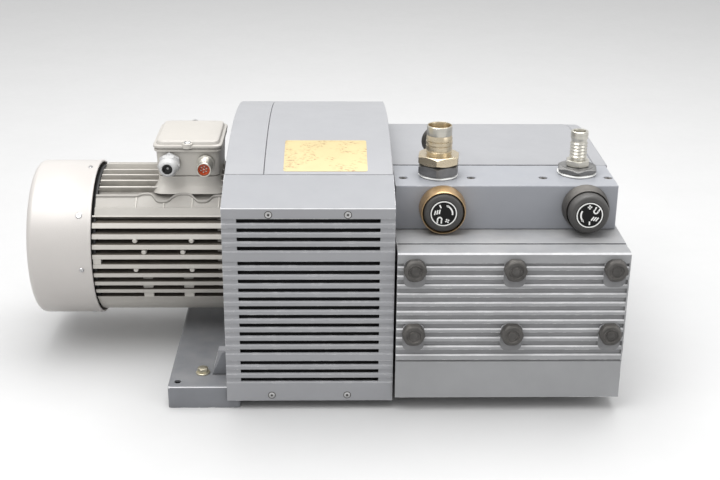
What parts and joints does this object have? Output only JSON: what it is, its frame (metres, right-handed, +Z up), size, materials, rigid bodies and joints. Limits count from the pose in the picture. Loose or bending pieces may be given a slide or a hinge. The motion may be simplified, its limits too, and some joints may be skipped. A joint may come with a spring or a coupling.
{
  "type": "rotary vane vacuum pump",
  "caption": "Motor-driven rotary vane vacuum and pressure pump with a slotted fan housing, a finned bolted cover, regulating knobs and hose nozzles.",
  "frame": {"origin": "middle of the bounding box's bottom face, on the plane the base stands on", "axes": "+X along the shaft, from the motor to the pump; -Y towards the knobs and the bolted cover; +Z up"},
  "size_m": [0.7942, 0.5048, 0.354],
  "materials": {
    "motor_paint": "light warm grey paint on cast aluminium, satin",
    "grey_paint": "blue-grey paint on sheet steel, satin",
    "manifold_paint": "blue-grey paint on cast iron, satin",
    "base_paint": "grey paint on folded steel sheet, worn at the edges",
    "dark_steel": "dark oxidised steel, dusty",
    "bright_steel": "machined steel",
    "cast_iron": "bare cast iron",
    "aluminium": "cast aluminium",
    "brass": "turned brass",
    "nickel": "nickel plate over brass",
    "zinc": "yellow zinc plated steel",
    "knob_plastic": "dark grey moulded plastic",
    "fan_plastic": "black moulded plastic",
    "gland_plastic": "light grey polyamide",
    "carbon": "moulded carbon graphite",
    "elastomer": "red polyurethane",
    "filter_paper": "pleated filter paper"
  },
  "bodies": {
    "root": {"base_plate": "base_paint", "base_bolt": "zinc", "stator_frame": "motor_paint", "drive_end_shield": "motor_paint", "fan_end_shield": "motor_paint", "fan_cowl": "motor_paint", "terminal_box": "motor_paint", "terminal_lid": "motor_paint", "stator_core": "cast_iron", "pump_cylinder": "cast_iron", "drive_side_cover": "cast_iron", "outer_side_cover": "cast_iron", "motor_bearing_fan": "bright_steel", "motor_bearing_drive": "bright_steel", "drive_side_bearing": "bright_steel", "outer_side_bearing": "bright_steel", "cable_gland": "gland_plastic", "power_connector": "nickel", "pressure_hose_nozzle": "nickel", "fan_housing": "grey_paint", "front_grille": "grey_paint", "rear_grille": "grey_paint", "arched_hood": "grey_paint", "hood_lid": "grey_paint", "filter_housing": "grey_paint", "filter_cover": "grey_paint", "sound_hood": "grey_paint", "end_panel": "grey_paint", "manifold_block": "manifold_paint", "vacuum_hose_nozzle": "brass", "vacuum_valve_body": "brass", "vacuum_reducer": "dark_steel", "pressure_reducer": "dark_steel", "pressure_valve_body": "dark_steel", "cover_bolt_1": "dark_steel", "cover_bolt_2": "dark_steel", "cover_bolt_3": "dark_steel", "cover_bolt_4": "dark_steel", "cover_bolt_5": "dark_steel", "cover_bolt_6": "dark_steel", "filter_cartridge": "filter_paper"},
    "vacuum_knob": {"vacuum_knob": "knob_plastic"},
    "vacuum_screw": {"vacuum_spring": "bright_steel"},
    "vacuum_plate": {"vacuum_valve_plate": "brass"},
    "pressure_knob": {"pressure_knob": "knob_plastic"},
    "pressure_screw": {"pressure_spring": "bright_steel"},
    "pressure_plate": {"pressure_valve_plate": "brass"},
    "pump_shaft": {"pump_rotor": "cast_iron", "cooling_fan": "aluminium", "pump_coupling_half": "cast_iron", "coupling_star": "elastomer", "vane_1": "carbon", "vane_2": "carbon", "vane_3": "carbon", "vane_4": "carbon", "vane_5": "carbon", "vane_6": "carbon"},
    "motor_shaft": {"motor_rotor": "bright_steel", "motor_fan": "fan_plastic", "motor_coupling_half": "cast_iron"}
  },
  "joints": [
    {"name": "vacuum_knob_turn", "type": "hinge", "parent": "vacuum_screw", "child": "vacuum_knob", "pos_m": [0.1644, -0.1829, 0.2558], "axis": [0, -1, 0], "range_deg": [-540, 540]},
    {"name": "pressure_knob_turn", "type": "hinge", "parent": "pressure_screw", "child": "pressure_knob", "pos_m": [0.3509, -0.1921, 0.257], "axis": [0, -1, 0], "range_deg": [-540, 540]},
    {"name": "vacuum_knob_travel", "type": "slide", "parent": "root", "child": "vacuum_screw", "axis": [0, -1, 0], "range_m": [-0.0015, 0.0015], "deforming": ["vacuum_spring"]},
    {"name": "pressure_knob_travel", "type": "slide", "parent": "root", "child": "pressure_screw", "axis": [0, -1, 0], "range_m": [-0.0015, 0.0015], "deforming": ["pressure_spring"]},
    {"name": "pump_shaft_turn", "type": "hinge", "parent": "root", "child": "pump_shaft", "pos_m": [0.0349, 0.0089, 0.15], "axis": [1, 0, 0], "continuous": true},
    {"name": "motor_shaft_turn", "type": "hinge", "parent": "root", "child": "motor_shaft", "pos_m": [0.0349, 0.0089, 0.15], "axis": [1, 0, 0], "continuous": true},
    {"name": "vacuum_plate_lift", "type": "slide", "parent": "root", "child": "vacuum_plate", "axis": [0, -1, 0], "range_m": [0, 0.002], "stiffness_N_per_m": 1500, "springref_m": -0.004},
    {"name": "pressure_plate_lift", "type": "slide", "parent": "root", "child": "pressure_plate", "axis": [0, -1, 0], "range_m": [0, 0.002], "stiffness_N_per_m": 1500, "springref_m": -0.004}
  ],
  "couplings": [
    {"joint": "vacuum_knob_travel", "follows": "vacuum_knob_turn", "m_per_rad": 0.00015915},
    {"joint": "pressure_knob_travel", "follows": "pressure_knob_turn", "m_per_rad": 0.00015915},
    {"joint": "motor_shaft_turn", "follows": "pump_shaft_turn", "ratio": 1}
  ]
}
